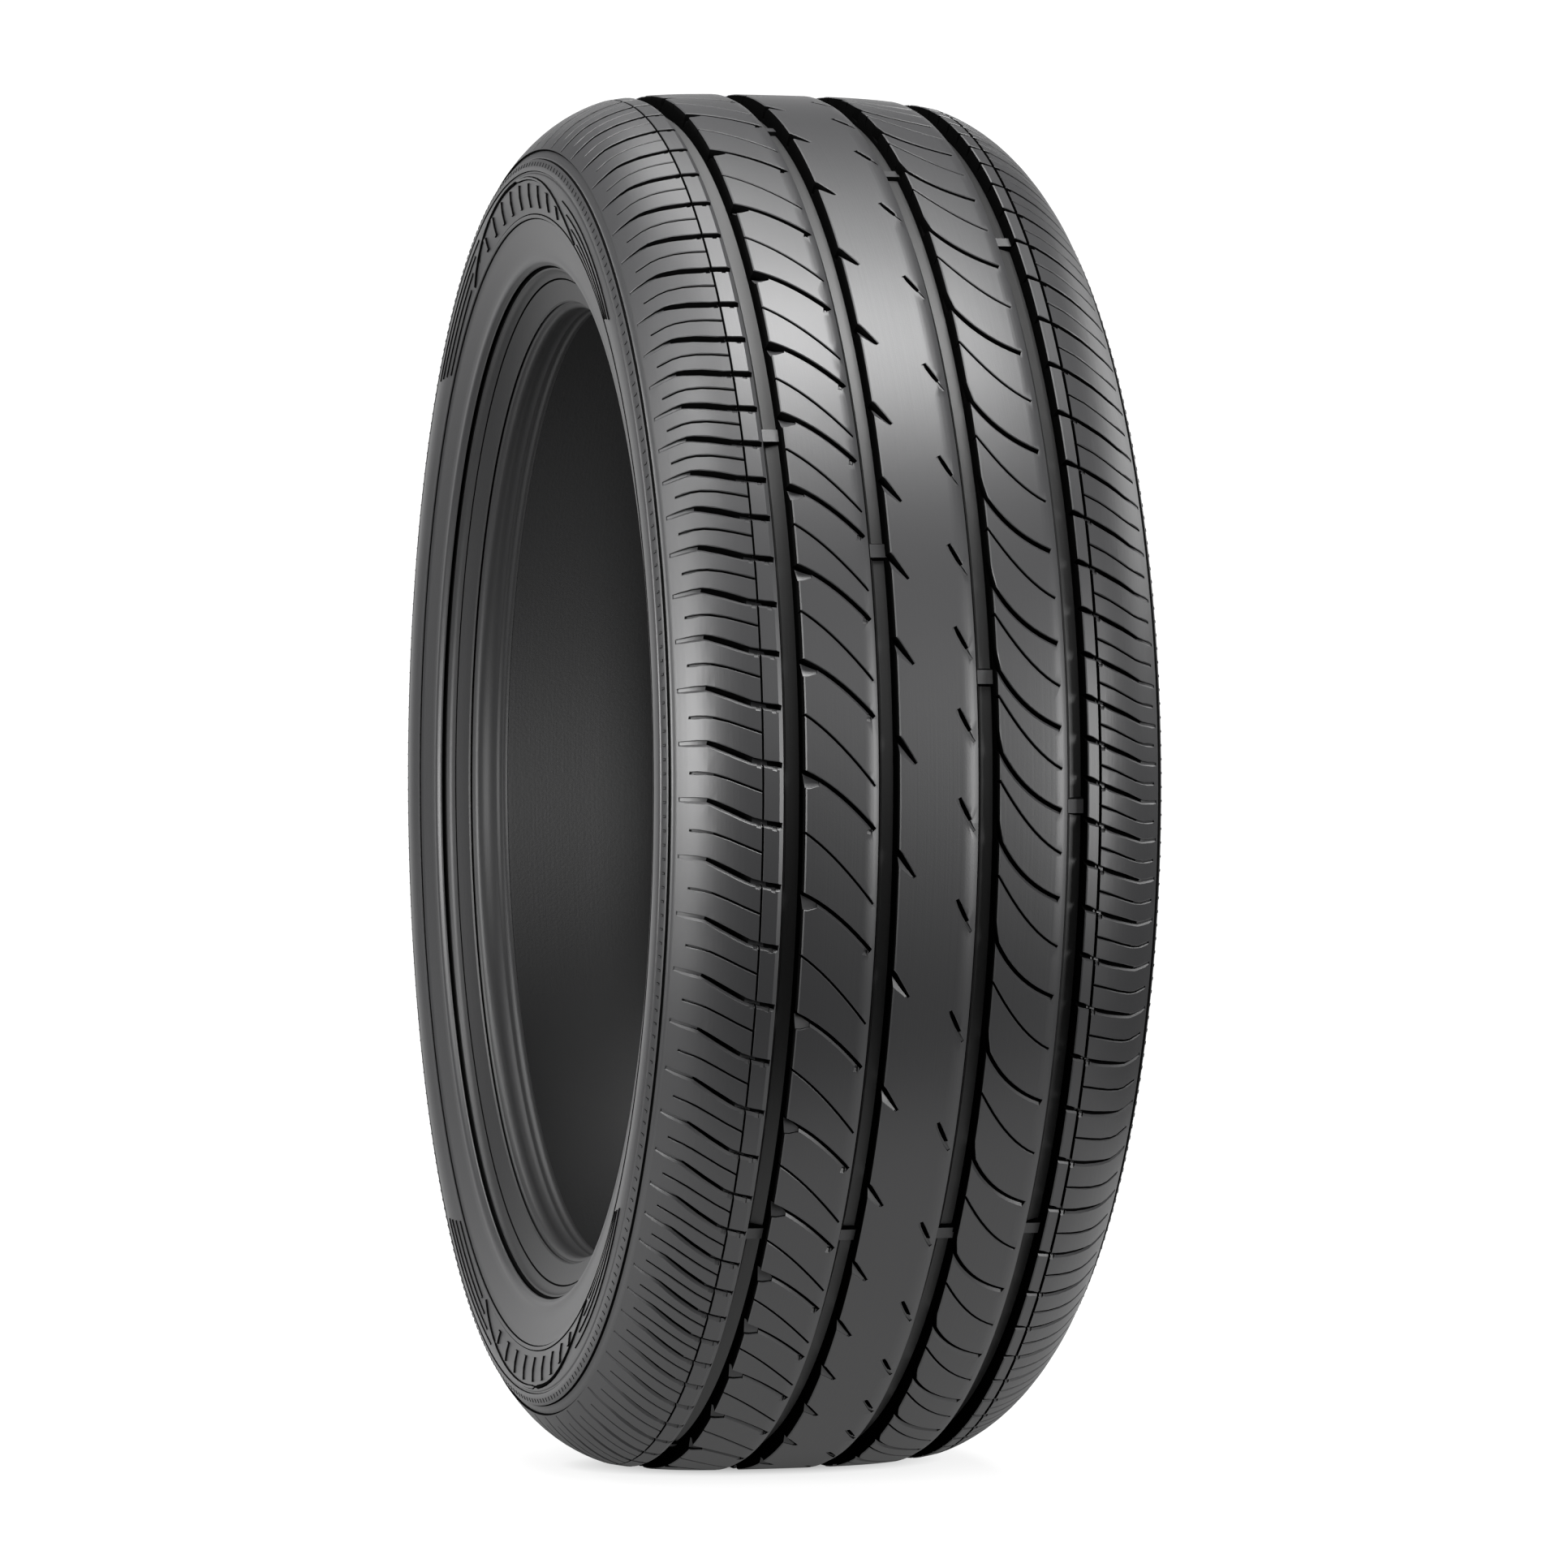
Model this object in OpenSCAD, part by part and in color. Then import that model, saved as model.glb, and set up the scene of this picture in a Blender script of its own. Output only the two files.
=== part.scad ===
// Radial car tyre, 225/45 on a 17 inch seat, standing on its tread.
// The wheel axis is Y and the ground side is -Z. Places across the tread are measured from the
// centre plane, and places round it as angles from the +X side towards the ground.

/* [Casing] */
// Outside diameter over the centre rib
outer_d = 634.3; // [624:0.1:650]
// Diameter of the rim seat that the beads grip
seat_d = 436.6; // [430:0.1:440]
// Width over the sidewalls
section_w = 221; // [218:0.5:230]
// Height of the widest point over the rim seat, as a share of the section height
widest_share = 0.553; // [0.5:0.001:0.58]
// Rubber and cords between the groove floors and the air cavity
crown_wall = 8.8; // [6:0.1:12]
// Sidewall thickness at the widest point
side_wall = 9.5; // [6:0.1:13]

/* [Beads] */
// Distance between the outer ends of the two seat lands
heel_gap = 172; // [168:0.5:178]
// Width of the land that sits on the rim, for each bead
seat_land = 15; // [10:0.5:18]
// Height of the protector edge over the rim seat, as a share of the section height
lip_share = 0.2; // [0.18:0.001:0.24]
// Distance of the protector edge inside the widest point, on each side
lip_in = 9; // [7:0.5:11.5]

/* [Sidewall rings] */
// Place of the inner raised ring on the way from the protector edge to the widest point
inner_ring_at = 0.6; // [0.5:0.01:0.7]
// Place of the outer raised ring on the way from the widest point to the shoulder's end
outer_ring_at = 0.68; // [0.5:0.01:0.75]
// Height of each raised ring
ring_h = 0.6; // [0.3:0.1:1]
// Width of each raised ring
ring_w = 1.6; // [1:0.1:2.5]

/* [Crown] */
// Fall of the crown from its centre to the end of the tread
crown_drop = 4.1; // [2:0.05:5]
// Radius of the rounded shoulders, seen in the section
shoulder_round = 62; // [52:1:80]
// Fall from the crown's centre to the shoulder's outer end, as a share of the section height
buttress_share = 0.275; // [0.25:0.001:0.3]
// Distance of the shoulder's outer end inside the widest point, on each side
buttress_in = 6; // [4.5:0.5:8.5]

/* [Grooves round the tyre] */
// Depth of the four wide grooves
groove_depth = 7.8; // [6.8:0.1:9]
// Half width of the centre rib
centre_rib = 15.3; // [13:0.1:17]
// Width of the two grooves beside the centre rib
inner_groove = 12.3; // [9:0.1:13]
// Width of the ribs between the wide grooves
second_rib = 27.6; // [25:0.1:29]
// Width of the two outer grooves
outer_groove = 11.5; // [9:0.1:12]
// Width of the narrow ribs between the outer grooves and the fine ones
narrow_rib = 5.8; // [4:0.1:8]
// Width of the fine groove in each shoulder
fine_w = 1; // [0.6:0.1:1.6]
// Depth of the fine groove in each shoulder
fine_depth = 4; // [2:0.1:5]
// Lean of the groove walls from straight in
wall_lean = 1.3; // [0.5:0.1:2.5]
// Width of the bevel on the left edge of the two inner grooves
bevel_w = 2.4; // [0.5:0.1:3.5]
// Depth of that bevel
bevel_h = 1.4; // [0.4:0.1:2.5]

/* [Pattern] */
// Number of pattern pitches round the tyre
pitches = 46; // [40:1:50]
// Number of times that the pitch grows and shrinks in one turn
waves = 5; // [3:1:7]
// Share of a pitch by which the pattern swings from even spacing
swing = 0.3; // [0:0.02:0.4]
// Width of the lateral grooves on the ribs
rib_cut = 2; // [1.2:0.1:3]
// Width of the lateral grooves on the shoulders
shoulder_cut = 3.2; // [2:0.1:4]
// Depth of the lateral grooves
cut_depth = 6.4; // [4:0.1:6.6]
// Width of the sipes, the thin cuts between the lateral grooves
sipe_w = 0.8; // [0.6:0.1:1.2]
// Depth of the sipes
sipe_depth = 4.8; // [3:0.1:6]
// Slant of the shoulder cuts from straight across
shoulder_skew = 20; // [10:1:28]

/* [Wear bars] */
// Number of sets of wear bars round the tyre
bar_sets = 7; // [6:1:9]
// Height of a wear bar over the groove floor
bar_h = 1.6; // [1.6:0.1:2.2]
// Length of a wear bar along the groove
bar_l = 8; // [5:0.5:12]

/* [Ground] */
// Length of the flat that the tyre rests on
flat_l = 60; // [50:1:80]

/* [Hidden] */
rubber = "#1b1c1d";
outer_r = outer_d / 2;
seat_r = seat_d / 2;
half_w = section_w / 2;
section_h = outer_r - seat_r;
widest_r = seat_r + widest_share * section_h;
lip_r = seat_r + lip_share * section_h;
lip_half = half_w - lip_in;
buttress_r = outer_r - buttress_share * section_h;
buttress_half = half_w - buttress_in;
heel_y = heel_gap / 2;
toe_y = heel_y - seat_land;
cavity_r = outer_r - groove_depth - crown_wall;
cavity_half = half_w - side_wall;

// Distances from the centre plane to where the grooves begin, and to where the crown turns into the shoulder
outer_at = centre_rib + inner_groove + second_rib;
fine_at = outer_at + outer_groove + narrow_rib;
tread_half = fine_at + fine_w;
round_steps = 144;
outside = 2;
sink = 0.6;

// Radius of the outer surface at a distance from the centre plane, over the crown and the round shoulders
crown_flatness = 0.17;
function crown(y) = let (u = pow(y / tread_half, 2)) outer_r - crown_drop * part_way(pow(u, 2), u, crown_flatness);
shoulder_from = [crown(tread_half), tread_half];
shoulder_to = [buttress_r, buttress_half];
shoulder_chord = shoulder_to - shoulder_from;
shoulder_centre = (shoulder_from + shoulder_to) / 2 + [-shoulder_chord[1], shoulder_chord[0]] / norm(shoulder_chord)
    * sqrt(pow(shoulder_round, 2) - pow(norm(shoulder_chord) / 2, 2));
function shoulder(y) = shoulder_centre[0] + sqrt(pow(shoulder_round, 2) - pow(y - shoulder_centre[1], 2));
function skin(y) = abs(y) <= tread_half ? crown(y) : shoulder(abs(y));

// Points of a curve that leaves a towards b and arrives at c, and the point a share of the way from a to b
function bend(a, b, c, n) = [for (i = [0:n]) let (t = i / n) (1 - t) * (1 - t) * a + 2 * t * (1 - t) * b + t * t * c];
function part_way(a, b, share) = a + (b - a) * share;

// Outline of the rubber on one side of the centre plane, as [radius, distance from the plane]
function bevel_line(edge, inward) = inward == 0 ? [[skin(edge), edge]] :
    [[skin(edge), edge], [skin(edge + inward) - bevel_h, edge + inward]];
function turned(points) = [for (i = [len(points) - 1:-1:0]) points[i]];
function groove(a, w, near_bevel = 0, far_bevel = 0) = concat(
    bevel_line(a, near_bevel),
    [[skin(a) - groove_depth, a + near_bevel + wall_lean],
        [skin(a + w) - groove_depth, a + w - far_bevel - wall_lean]],
    turned(bevel_line(a + w, -far_bevel))
);
function ring(r, y) = [[r + ring_w / 2, y], [r + ring_w / 4, y + ring_h], [r - ring_w / 4, y + ring_h], [r - ring_w / 2, y]];

function tread_side(near_bevel, far_bevel) = concat(
    groove(centre_rib, inner_groove, near_bevel, far_bevel),
    groove(outer_at, outer_groove),
    [[skin(fine_at), fine_at], shoulder_to]
);

// The sidewall bulges from the buttress to the protector edge, with its two rings on the way
outer_ring_r = part_way(widest_r, buttress_r, outer_ring_at);
inner_ring_r = part_way(lip_r, widest_r, inner_ring_at);
outer_ring_y = part_way(half_w, buttress_half, 0.37);
inner_ring_y = part_way(half_w, lip_half, 0.38);
side = concat(
    [[buttress_r - 0.8, buttress_half + 0.2]],
    ring(outer_ring_r, outer_ring_y),
    bend([part_way(outer_ring_r, widest_r, 0.2), part_way(outer_ring_y, half_w, 0.25)],
        [part_way(widest_r, outer_ring_r, 0.4), half_w], [widest_r, half_w], 3),
    bend([part_way(widest_r, inner_ring_r, 0.15), half_w], [part_way(widest_r, inner_ring_r, 0.5), half_w],
        [part_way(inner_ring_r, widest_r, 0.15), part_way(inner_ring_y, half_w, 0.2)], 2),
    ring(inner_ring_r, inner_ring_y),
    [[part_way(lip_r, inner_ring_r, 0.1), lip_half + ring_h], [lip_r, lip_half], [lip_r - 0.9, lip_half - 1.6]]
);
bead = concat(
    bend([part_way(lip_r, seat_r, 0.1), lip_half - 3.5], [part_way(seat_r, lip_r, 0.25), heel_y + 5], [seat_r, heel_y], 5),
    bend([seat_r, toe_y], [seat_r + 0.2, toe_y - 0.8], [seat_r + 2, toe_y - 0.8], 2)
);
liner = concat(
    bend([part_way(seat_r, lip_r, 0.4), toe_y + 1], [part_way(seat_r, lip_r, 0.85), toe_y + 5],
        [part_way(lip_r, widest_r, 0.3), cavity_half - 10], 4),
    bend([part_way(lip_r, widest_r, 0.6), cavity_half - 2.5], [widest_r, cavity_half + 1.5],
        [part_way(widest_r, cavity_r, 0.36), cavity_half - 3], 4),
    bend([part_way(widest_r, cavity_r, 0.5), cavity_half - 6], [cavity_r, cavity_half - 15],
        [cavity_r, cavity_half / 2], 5)
);

module section() {
    wall = concat(side, bead, liner);
    left = [for (p = concat(tread_side(0, bevel_w), wall)) [p[0], -p[1]]];
    right = concat(tread_side(bevel_w, 0), wall);
    difference() {
        union() {
            polygon(concat(right, turned(left)));
            for (flip = [0, 1]) mirror([0, flip]) intersection() {
                translate(shoulder_centre) circle(shoulder_round, $fn = round_steps);
                polygon([[skin(fine_at) - outside, fine_at], [outer_r, fine_at], [outer_r, buttress_half],
                    shoulder_to, shoulder_to - [0, outside]]);
            }
        }
        for (flip = [0, 1]) mirror([0, flip])
            translate([skin(fine_at) - fine_depth, fine_at]) square([fine_depth + outside, fine_w]);
    }
}

module casing() {
    rotate_extrude($fn = round_steps) section();
}

// Wear bars bridge the floors of the four wide grooves. Every second set is spread along the pattern.
module wear_bars() {
    bar_angle = bar_l / outer_r * 180 / PI;
    first_set = -14.3;
    spread = 10;
    for (set = [0:bar_sets - 1], i = [0:3]) {
        near = i == 0 || i == 3 ? outer_at : centre_rib;
        width = near == outer_at ? outer_groove : inner_groove;
        from = i < 2 ? -near - width : near;
        floor_r = skin(from + width / 2) - groove_depth;
        angle = first_set + 360 / bar_sets * set + (set % 2 == 0 ? spread * (i - 1.5) : 0);
        rotate([0, 0, angle]) rotate_extrude(angle = bar_angle, $fn = round_steps)
            translate([floor_r - 2 * sink, from + sink]) square([bar_h + 2 * sink, width - 2 * sink]);
    }
}

// Sets a cut at every pitch, step and shift counting in pitches. The pitches grow and shrink in waves
// round the tyre, and lag tells where the wave stands on each rib.
module each_pitch(first, lag, step = 1, shift = 0) {
    for (k = [shift:step:pitches - step + shift])
        rotate([0, 0, first + 360 / pitches * (k + swing * sin(360 * waves * k / pitches + lag))]) children();
}

// A cut straight in through a rib, from its outline as [distance round the tyre, distance from the plane]
module plunge(depth, outline) {
    floor_r = outer_r - depth;
    translate([floor_r, 0, 0]) rotate([90, 0, 90]) linear_extrude(depth + outside) polygon(outline);
}

// Outline of one width along a line
function across(a, b) = let (d = b - a) [-d[1], d[0]] / norm(d);
function along(line, w) = let (
    last = len(line) - 1,
    side = [for (i = [0:last]) across(line[max(i - 1, 0)], line[min(i + 1, last)]) * w / 2]
) concat([for (i = [0:last]) line[i] + side[i]], [for (i = [last:-1:0]) line[i] - side[i]]);

// A slanted slot across a shoulder, its floor given as [distance from the plane, depth under the surface].
// Its line crosses the start of its pitch where the outer groove ends.
module slot(width, floor_line) {
    start = outer_at + outer_groove - 1;
    top = outer_r + outside;
    function reach(p) = (p[0] - start) / cos(shoulder_skew);
    translate([0, 0, start]) rotate([-shoulder_skew, 0, 0]) rotate([90, 0, 0]) linear_extrude(width, center = true)
        polygon(concat(
            [[top, reach(floor_line[0])]],
            [for (p = floor_line) [skin(p[0]) - p[1], reach(p)]],
            [[top, reach(floor_line[len(floor_line) - 1])]]
        ));
}

// Where the first pitch of each row of cuts stands, and the lag of its wave
rib_2_first = -54.3;
rib_4_first = -52;
notch_first = -54.2;
slit_first = -51;
left_first = -54.9;
right_first = -51.3;
left_lag = 39;
notch_lag = 4;
slit_lag = -29;
right_lag = -67;

// How far round the tyre the cuts reach on their way across a rib
wide_reach = [24, 31];
sipe_reach = [30, 31];
notch_reach = 13;
notch_mouth = 5.5;
run_out = 1.2;
centre_cut_depth = cut_depth - 0.2;

module left_rib_cuts() {
    from = -outer_at - run_out;
    to = -centre_rib - inner_groove + run_out;
    wide = bend([0, from], [wide_reach[0] * 0.27, part_way(from, to, 0.5)], [wide_reach[0], to], 3);
    thin = bend([0, from], [sipe_reach[0] * 0.3, part_way(from, to, 0.45)], [sipe_reach[0], to], 2);
    each_pitch(rib_2_first, left_lag) plunge(cut_depth, along(wide, rib_cut));
    each_pitch(rib_2_first, left_lag, shift = 0.5) plunge(sipe_depth, along(thin, sipe_w));
}

// Slanted notches open into the left groove beside the centre rib, and short closed slits stand near its right edge
module centre_rib_cuts() {
    edge = -centre_rib - run_out;
    tip = -centre_rib * 0.56;
    each_pitch(notch_first, notch_lag) plunge(centre_cut_depth,
        [[-notch_reach, edge], [-notch_reach + notch_mouth, edge], [0, tip], [-sipe_w * 2, tip]]);
    slit = [[-5.2, centre_rib * 0.64], [4.2, centre_rib * 0.95]];
    each_pitch(slit_first, slit_lag) plunge(centre_cut_depth, along(slit, rib_cut));
}

module right_rib_cuts() {
    from = centre_rib + inner_groove - run_out;
    to = outer_at + run_out;
    wide = bend([-wide_reach[1], from], [-wide_reach[1] * 0.31, part_way(from, to, 0.18)], [0, to], 3);
    thin = bend([-sipe_reach[1], from], [-sipe_reach[1] * 0.25, part_way(from, to, 0.5)], [0, to], 2);
    each_pitch(rib_4_first, right_lag) plunge(cut_depth, along(wide, rib_cut));
    each_pitch(rib_4_first, right_lag, shift = 0.5) plunge(sipe_depth, along(thin, sipe_w));
}

// Two to a pitch: each rises over a tie bar beside the fine groove, then runs out over the shoulder.
// A sipe stands between each two.
module shoulder_cuts() {
    span = buttress_half - fine_at;
    deep = cut_depth - 0.8;
    wide = [[outer_at + outer_groove - 1, cut_depth], [fine_at + span * 0.13, deep - 3],
        [fine_at + span * 0.22, deep], [fine_at + span * 0.72, 0.8]];
    thin = [[fine_at, fine_depth], [fine_at + span * 0.8, 0.5]];
    for (half_turn = [0, 1]) {
        first = half_turn == 1 ? left_first : right_first;
        lag = half_turn == 1 ? left_lag : right_lag;
        each_pitch(first, lag, step = 0.5) rotate([180 * half_turn, 0, 0]) slot(shoulder_cut, wide);
        each_pitch(first, lag, step = 0.5, shift = 0.25) rotate([180 * half_turn, 0, 0]) slot(sipe_w, thin);
    }
}

module ground_flat() {
    flat_r = sqrt(pow(outer_r, 2) - pow(flat_l / 2, 2));
    translate([-outer_r, flat_r, -half_w]) cube([outer_d, outer_d, section_w]);
}

module tyre() {
    color(rubber) rotate([-90, 0, 0]) difference() {
        union() {
            casing();
            wear_bars();
        }
        left_rib_cuts();
        centre_rib_cuts();
        right_rib_cuts();
        shoulder_cuts();
        ground_flat();
    }
}

tyre();
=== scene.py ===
import math

import bmesh
import bpy
from mathutils import Matrix, Vector


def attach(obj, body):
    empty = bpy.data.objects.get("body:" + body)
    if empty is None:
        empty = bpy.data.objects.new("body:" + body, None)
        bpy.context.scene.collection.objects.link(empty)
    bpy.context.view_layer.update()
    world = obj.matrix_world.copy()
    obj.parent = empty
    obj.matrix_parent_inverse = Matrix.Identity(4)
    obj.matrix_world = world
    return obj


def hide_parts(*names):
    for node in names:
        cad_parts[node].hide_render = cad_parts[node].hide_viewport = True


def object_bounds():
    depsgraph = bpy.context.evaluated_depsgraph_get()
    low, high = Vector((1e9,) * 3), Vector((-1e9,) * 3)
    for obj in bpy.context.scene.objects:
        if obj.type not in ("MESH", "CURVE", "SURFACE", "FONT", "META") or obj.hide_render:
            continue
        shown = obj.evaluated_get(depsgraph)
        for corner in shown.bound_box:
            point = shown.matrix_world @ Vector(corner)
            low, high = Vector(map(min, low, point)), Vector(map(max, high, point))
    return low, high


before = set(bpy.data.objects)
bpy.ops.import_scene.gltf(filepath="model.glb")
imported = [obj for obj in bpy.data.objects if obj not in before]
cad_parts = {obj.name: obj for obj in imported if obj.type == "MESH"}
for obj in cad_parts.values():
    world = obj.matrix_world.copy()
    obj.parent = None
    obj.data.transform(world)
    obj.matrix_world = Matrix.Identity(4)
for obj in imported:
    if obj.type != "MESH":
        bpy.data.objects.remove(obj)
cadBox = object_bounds()

# All sizes are in millimetres and become metres when a point is put in place.
# r is the radius round the axle, y the distance from the centre plane, s the distance round the tread
mm = 0.001
tyre = {
    "outerR": cadBox[1][2] / mm,
    "treadHalf": 73.5,
    "crownDrop": 4.1,
    "crownFlatness": 0.17,
    "shoulderRound": 62.0,
    "buttressR": 290.0,  # where the round shoulder meets the sidewall
    "buttressHalf": 104.5,
    "lipR": 238.0,
    "cavityR": 300.55,
    "flatLength": 60.0,
    "steps": 276,
}


def crownR(y):
    u = (y / tyre["treadHalf"]) ** 2
    flatness = tyre["crownFlatness"]
    return tyre["outerR"] - tyre["crownDrop"] * (flatness * u + (1 - flatness) * u * u)


def shoulderCentre():
    # From the shoulder's two ends and its radius
    start = Vector((crownR(tyre["treadHalf"]), tyre["treadHalf"]))
    end = Vector((tyre["buttressR"], tyre["buttressHalf"]))
    chord = end - start
    inward = Vector((-chord.y, chord.x)).normalized()
    return (start + end) / 2 + inward * math.sqrt(tyre["shoulderRound"] ** 2 - chord.length_squared / 4)


shoulder = shoulderCentre()


def surfaceR(y):
    # Radius of the tread and shoulders, with no cut in them
    if abs(y) <= tyre["treadHalf"]:
        return crownR(y)
    return shoulder.x + math.sqrt(tyre["shoulderRound"] ** 2 - (abs(y) - shoulder.y) ** 2)


def bend(a, b, c, steps):
    # A curve that leaves a towards b and arrives at c
    points = []
    for i in range(steps + 1):
        t = i / steps
        points.append(tuple((1 - t) ** 2 * p + 2 * t * (1 - t) * q + t * t * r for p, q, r in zip(a, b, c)))
    return points


def onRing(angle, s, y, r):
    # World place of a point s round the tyre from an angle
    phi = angle + s / tyre["outerR"]
    return Vector((r * math.cos(phi), y, -r * math.sin(phi))) * mm


def meshFrom(bm, name):
    mesh = bpy.data.meshes.new(name)
    bm.to_mesh(mesh)
    bm.free()
    return mesh


def faceOutward(bm):
    if bm.calc_volume(signed=True) < 0:
        bmesh.ops.reverse_faces(bm, faces=bm.faces)


def addObject(name, data):
    obj = bpy.data.objects.new(name, data)
    bpy.context.scene.collection.objects.link(obj)
    return obj


def newPiece(name, bm):
    faceOutward(bm)
    return addObject(name, meshFrom(bm, name))


def revolve(name, profile, steps):
    # A closed ring from its outline of (r, y)
    bm = bmesh.new()
    verts = [bm.verts.new((r * mm, y * mm, 0)) for r, y in profile]
    edges = [bm.edges.new((verts[i - 1], verts[i])) for i in range(len(verts))]
    bmesh.ops.spin(bm, geom=verts + edges, cent=(0, 0, 0), axis=(0, 1, 0), angle=math.tau, steps=steps,
                   use_merge=True)
    bmesh.ops.remove_doubles(bm, verts=bm.verts, dist=1e-7)
    return newPiece(name, bm)


def flankPlaces(line, i, extra):
    # The two flanks of a line at one of its points, widened by extra
    a = line[max(i - 1, 0)]
    b = line[min(i + 1, len(line) - 1)]
    along = Vector((b["s"] - a["s"], b["y"] - a["y"])).normalized()
    across = Vector((-along.y, along.x))
    if across.x > 0:
        across = -across
    middle = Vector((line[i]["s"], line[i]["y"]))
    reach = line[i]["w"] / 2 + extra
    return middle + across * reach, middle - across * reach


def sweep(bm, line, upper, lower=None):
    # A closed bar along a line on flat ground. Its upper and lower flank go through levels, each with how much
    # wider than the line it is and with its depth, worked out from the line's own
    flanks = {-1: upper, 1: lower or upper}
    levels = range(len(upper))
    section = [(-1, level) for level in levels] + [(1, level) for level in reversed(levels)]
    bar = bmesh.new()
    face = bar.faces.new([bar.verts.new((0, side, level)) for side, level in section])
    bmesh.ops.spin(bar, geom=[face], axis=(1, 0, 0), dvec=(1, 0, 0), angle=0, steps=len(line) - 1)
    bmesh.ops.recalc_face_normals(bar, faces=bar.faces)
    for v in bar.verts:
        i, side, level = round(v.co.x), round(v.co.y), round(v.co.z)
        extra, depthFrom = flanks[side][level]
        high, low = flankPlaces(line, i, extra)
        at, depth = (high, line[i]["up"]) if side < 0 else (low, line[i]["down"])
        v.co = (at.x, at.y, depthFrom(depth))
    faceOutward(bar)
    mesh = meshFrom(bar, "bar")
    bm.from_mesh(mesh)
    bpy.data.meshes.remove(mesh)


clearance = 1.6  # how far a cutter stands above the surface that it cuts


def mouth(bevel):
    # Straight from the floor up to the bevel, which then flares
    return [
        (0, lambda depth: depth),
        (0, lambda depth: min(bevel, depth * 0.8)),
        (bevel + clearance, lambda depth: -clearance),
    ]


def ridgeBody(bm, line, slope, sink=0.6):
    # A raised bar, its top narrower than its foot
    sweep(bm, line, [
        (-slope, lambda height: -height),
        (0, lambda height: -height * 0.3),
        (sink, lambda height: sink),
    ])


def lineOf(points):
    # From (s, y, width, depth) or (s, y, width, depth of the upper flank, depth of the lower one)
    keys = ("s", "y", "w", "up", "down")
    return [dict(zip(keys, p if len(p) == 5 else p + (p[3],))) for p in points]


def combine(target, other, operation):
    # Cuts other from target, or joins it on, and removes it
    step = target.modifiers.new("step", "BOOLEAN")
    step.operation = operation
    step.solver = "MANIFOLD"
    step.object = other
    result = bpy.data.meshes.new_from_object(target.evaluated_get(bpy.context.evaluated_depsgraph_get()))
    target.modifiers.clear()
    old = target.data
    target.data = result
    bpy.data.meshes.remove(old)
    otherMesh = other.data
    bpy.data.objects.remove(other)
    bpy.data.meshes.remove(otherMesh)


# Pitches grow and shrink in waves round the tyre. Each rib's family has the angle of its first pitch and the
# place of its wave, in degrees
pattern = {
    "pitches": 46,
    "waves": 5,
    "swing": 0.3,
    "families": {
        "rib2": {"first": -54.3, "lag": 39},
        "rib4": {"first": -52.0, "lag": -67},
        "notch": {"first": -54.2, "lag": 4},
        "slit": {"first": -51.0, "lag": -29},
        "left": {"first": -54.9, "lag": 39},
        "right": {"first": -51.3, "lag": -67},
    },
}


def pitchAngle(family, k):
    wave = math.sin(math.tau * pattern["waves"] * k / pattern["pitches"] + math.radians(family["lag"]))
    return math.radians(family["first"]) + math.tau / pattern["pitches"] * (k + pattern["swing"] * wave)


# Grooves round the tyre: from, to, depth, lean of the two walls, and bevel of the two edges as (across, down)
ringGrooves = [
    {"a": -66.7, "b": -55.3, "depth": 7.8, "lean": (2.0, 1.0), "left": (1.8, 0.9), "right": (0.5, 0.4)},
    {"a": -27.3, "b": -15.3, "depth": 7.8, "lean": (2.2, 1.0), "left": (2.6, 1.2), "right": (0.5, 0.4)},
    {"a": 15.3, "b": 27.9, "depth": 7.8, "lean": (2.2, 1.0), "left": (3.0, 1.3), "right": (0.5, 0.4)},
    {"a": 55.0, "b": 67.0, "depth": 7.8, "lean": (2.0, 1.0), "left": (2.4, 1.0), "right": (0.5, 0.4)},
]
fineGrooves = [
    {"a": -73.8, "b": -72.8, "depth": 3.0, "lean": (0.1, 0.1), "left": (0.12, 0.2), "right": (0.12, 0.2)},
    {"a": 71.4, "b": 72.8, "depth": 3.4, "lean": (0.1, 0.1), "left": (0.12, 0.2), "right": (0.12, 0.2)},
]
band = {
    "spacing": 3.6,
    "cornerRise": 0.8,
    "cornerWidth": 0.9,
    "farCorner": 0.3,
    # Past floorSplit a wide groove's floor takes the near-black rubber, painted shade under its far wall
    "floorSplit": 0.87,  # share of a groove's width where its open floor ends in the dark under the far wall
    "beltHalf": 60,
    "thickness": 4,
    "edgeInset": 3,
}


def splitAt(g):
    return g["a"] + (g["b"] - g["a"]) * band["floorSplit"]


def grooveLine(g):
    # Outline of a ring groove, from its first edge to its last
    a, b = g["a"], g["b"]
    leftW, leftD = g["left"]
    rightW, rightD = g["right"]
    floorA = surfaceR(a) - g["depth"]
    floorB = surfaceR(b) - g["depth"]
    near = a + leftW + g["lean"][0]
    line = [(surfaceR(a), a), (surfaceR(a + leftW) - leftD, a + leftW)]
    if g in ringGrooves:
        line += [(floorA + band["cornerRise"], near), (floorA, near + band["cornerWidth"]),
                 (surfaceR(splitAt(g)) - g["depth"], splitAt(g))]
    else:
        line += [(floorA, near)]
    line += [(floorB, b - g["lean"][1] - band["farCorner"]), (surfaceR(b - rightW) - rightD, b - rightW),
             (surfaceR(b), b)]
    return line


def treadProfile():
    grooves = sorted(ringGrooves + fineGrooves, key=lambda g: g["a"])
    edge = tyre["buttressHalf"]
    profile = []
    at = -edge
    for g in grooves + [None]:
        to = g["a"] if g else edge
        count = max(1, round((to - at) / band["spacing"]))
        start = 0 if at == -edge else 1
        for i in range(start, count if g else count + 1):
            y = at + (to - at) * i / count
            profile.append((surfaceR(y), y))
        if g:
            profile += grooveLine(g)
            at = g["b"]
    inside = [(tyre["buttressR"] - band["thickness"], edge - band["edgeInset"]),
              (tyre["cavityR"] + band["thickness"], band["beltHalf"])]
    return profile + inside + [(r, -y) for r, y in reversed(inside)]


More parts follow.
